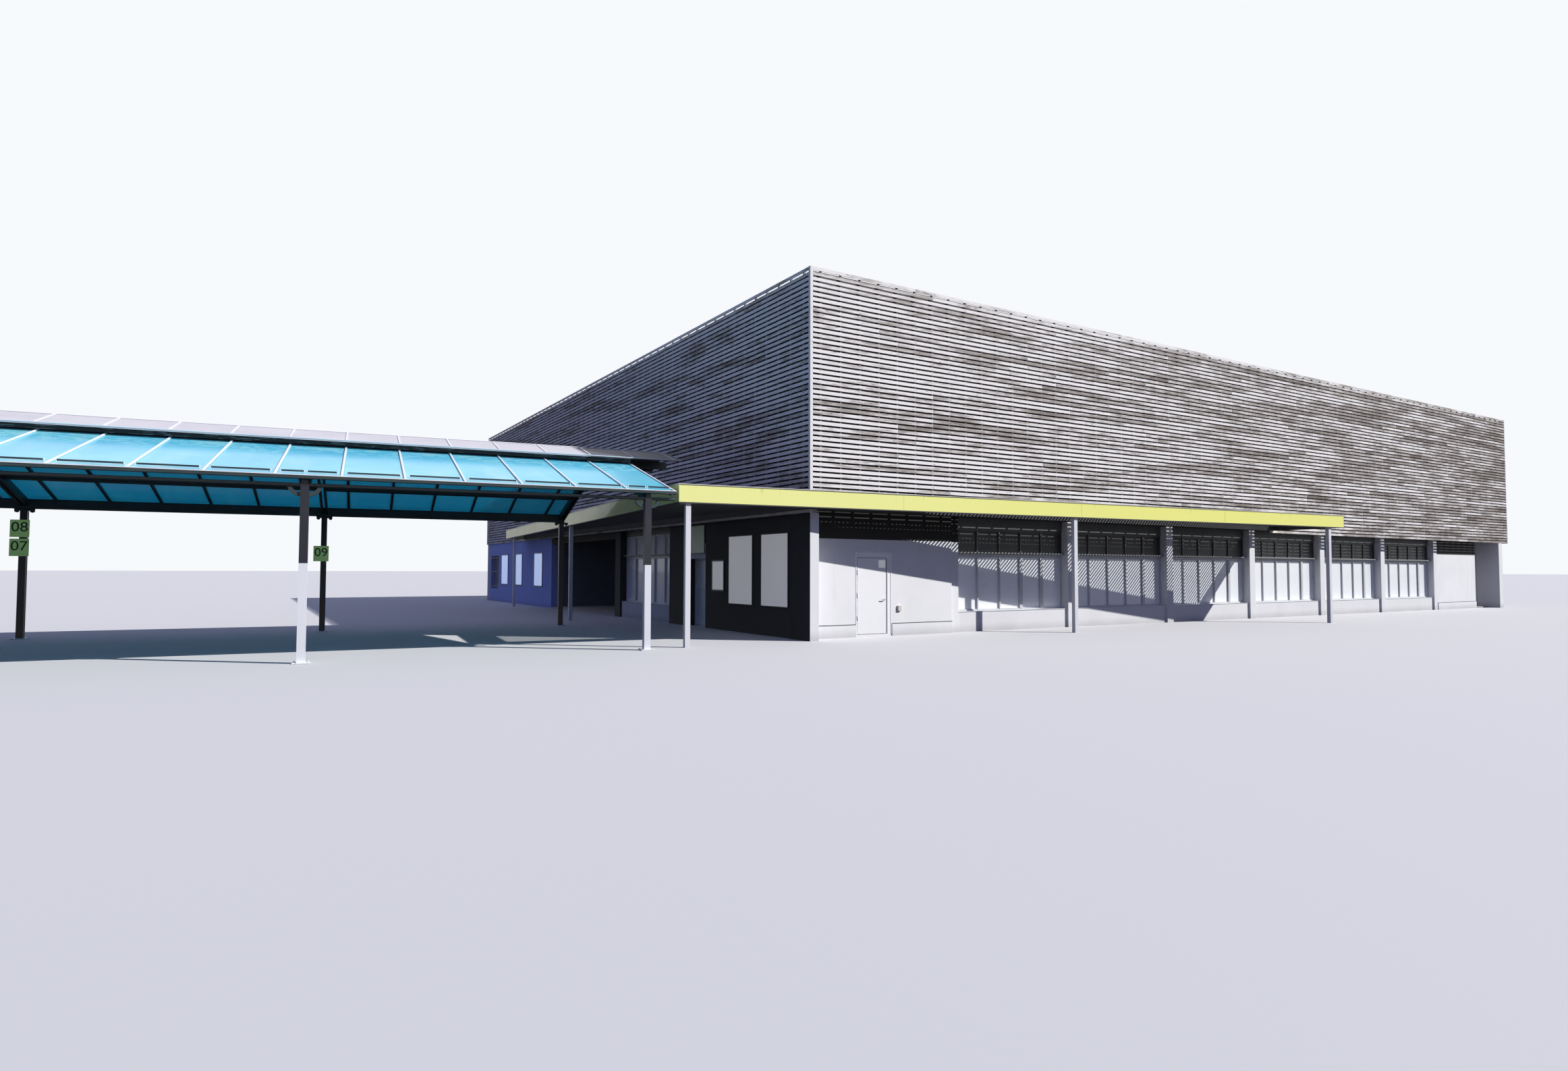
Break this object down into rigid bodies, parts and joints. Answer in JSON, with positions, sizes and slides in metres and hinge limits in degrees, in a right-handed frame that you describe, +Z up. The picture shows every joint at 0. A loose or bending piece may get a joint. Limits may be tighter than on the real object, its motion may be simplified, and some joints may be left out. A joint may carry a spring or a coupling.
{
  "type": "half-scale model of a supermarket building",
  "caption": "Flat-roofed supermarket clad in an open board screen, with a lime walkway canopy and a glazed drive-through canopy; the service door opens.",
  "frame": {"origin": "middle of the building's plan, without its canopies, at ground level", "axes": "+X along the front to the right, +Y from the front to the back, +Z up"},
  "size_m": [32.8811, 17.8097, 4.5751],
  "materials": {
    "concrete": "matte",
    "render": "matte",
    "inner_wall": "matte",
    "dark_cladding": "satin",
    "roof_membrane": "matte",
    "board_timber": "weathered",
    "batten_timber": "weathered",
    "frame_metal": "satin",
    "pane_glass": "gloss",
    "dark_panel": "satin",
    "lime_paint": "satin",
    "post_metal": "satin",
    "deck_metal": "satin",
    "canopy_steel": "satin",
    "bar_metal": "satin",
    "tinted_glazing": "gloss",
    "ridge_panel": "satin",
    "vent_metal": "satin",
    "plate_metal": "satin",
    "case_metal": "satin",
    "door_paint": "satin",
    "handle_steel": "satin"
  },
  "bodies": {
    "building": {"floor_slab": "concrete", "front_piers": "render", "front_walls": "render", "lintel_walls": "render", "sill_walls": "render", "window_headers": "frame_metal", "window_frames": "frame_metal", "window_panes": "pane_glass", "upper_panels": "dark_panel", "recess_side_walls": "inner_wall", "recess_back_walls": "inner_wall", "soffit_slabs": "inner_wall", "left_walls": "render", "left_rear_wall": "render", "back_wall": "render", "right_wall": "render", "upper_long_walls": "dark_cladding", "upper_end_walls": "dark_cladding", "roof_deck": "roof_membrane", "front_screen": "board_timber", "left_screen": "board_timber", "back_screen": "board_timber", "right_screen": "board_timber", "screen_battens": "batten_timber", "corner_strips": "board_timber", "front_fascia": "lime_paint", "side_fascias": "lime_paint", "walkway_posts": "post_metal", "walkway_beams": "deck_metal", "front_deck": "deck_metal", "side_deck": "deck_metal", "drive_posts": "post_metal", "post_brackets": "canopy_steel", "eave_beams": "canopy_steel", "rafters": "canopy_steel", "purlins": "canopy_steel", "glazing_bars": "bar_metal", "roof_glazing": "tinted_glazing", "ridge_roof": "ridge_panel", "ridge_vents": "vent_metal", "number_plates": "plate_metal", "poster_cases": "case_metal", "door_frame": "door_paint"},
    "service_door": {"service_door": "door_paint", "door_handle": "handle_steel"}
  },
  "joints": [
    {"name": "service_door_hinge", "type": "hinge", "parent": "building", "child": "service_door", "pos_m": [-9.324, -8.033, 0.524], "axis": [0, 0, -1], "range_deg": [0, 100]}
  ]
}
